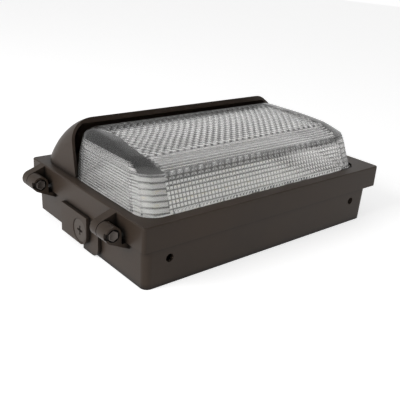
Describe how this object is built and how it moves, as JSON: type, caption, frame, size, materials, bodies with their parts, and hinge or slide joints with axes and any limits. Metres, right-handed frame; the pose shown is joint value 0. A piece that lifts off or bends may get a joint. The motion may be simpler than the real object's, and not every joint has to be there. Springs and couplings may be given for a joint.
{
  "type": "wall pack light",
  "caption": "Cast wall pack light with a hinged door frame, hooded visor, prismatic glass refractor, captive latch screws and conduit hubs.",
  "frame": {"origin": "middle of the housing's back face, in the mouth of the back conduit entry", "axes": "+Z out of the wall towards the glass, +Y up once mounted, +X away from the hinges"},
  "size_m": [0.384, 0.2358, 0.1281],
  "materials": {
    "bronze_coat": "dark bronze powder coat, satin",
    "plug_coat": "bronze coat, a little lighter",
    "glass": "prismatic borosilicate glass",
    "steel": "zinc plated",
    "dark_bolt": "coated steel bolt",
    "nylon": "natural nylon",
    "gasket": "silicone foam",
    "plate_metal": "mill finish sheet",
    "reflector_metal": "white enamelled sheet",
    "board": "white solder mask",
    "led": "phosphor domes",
    "connector": "moulded",
    "driver": "folded case",
    "surge": "potted case",
    "terminal": "moulded",
    "leads": "wire insulation",
    "ground": "green coated screw"
  },
  "bodies": {
    "housing": {"back_housing": "bronze_coat", "hinge_bolts": "dark_bolt", "hinge_washers": "nylon", "hinge_nuts": "dark_bolt", "conduit_plug_left": "plug_coat", "conduit_plug_right": "plug_coat", "conduit_plug_top": "plug_coat", "led_plate": "plate_metal", "led_plate_screws": "steel", "led_board": "board", "led_connector": "connector", "led_array": "led", "reflector": "reflector_metal", "led_driver": "driver", "driver_screws": "steel", "surge_protector": "surge", "terminal_block": "terminal", "supply_leads": "leads", "led_leads": "leads", "ground_screw": "ground"},
    "door": {"door_frame": "bronze_coat", "glass_refractor": "glass", "glass_gasket": "gasket", "glass_clips": "steel", "glass_clip_screws": "steel", "door_gasket": "gasket"},
    "latch_lower": {"latch_screw_lower": "dark_bolt", "latch_retainer_lower": "steel"},
    "latch_upper": {"latch_screw_upper": "dark_bolt", "latch_retainer_upper": "steel"}
  },
  "joints": [
    {"name": "door_hinge", "type": "hinge", "parent": "housing", "child": "door", "pos_m": [-0.189, -0.0697, 0.0537], "axis": [0, -1, 0], "range_deg": [0, 110]},
    {"name": "latch_lower_slide", "type": "slide", "parent": "door", "child": "latch_lower", "axis": [0, 0, 1], "range_m": [0, 0.009]},
    {"name": "latch_upper_slide", "type": "slide", "parent": "door", "child": "latch_upper", "axis": [0, 0, 1], "range_m": [0, 0.009]}
  ]
}
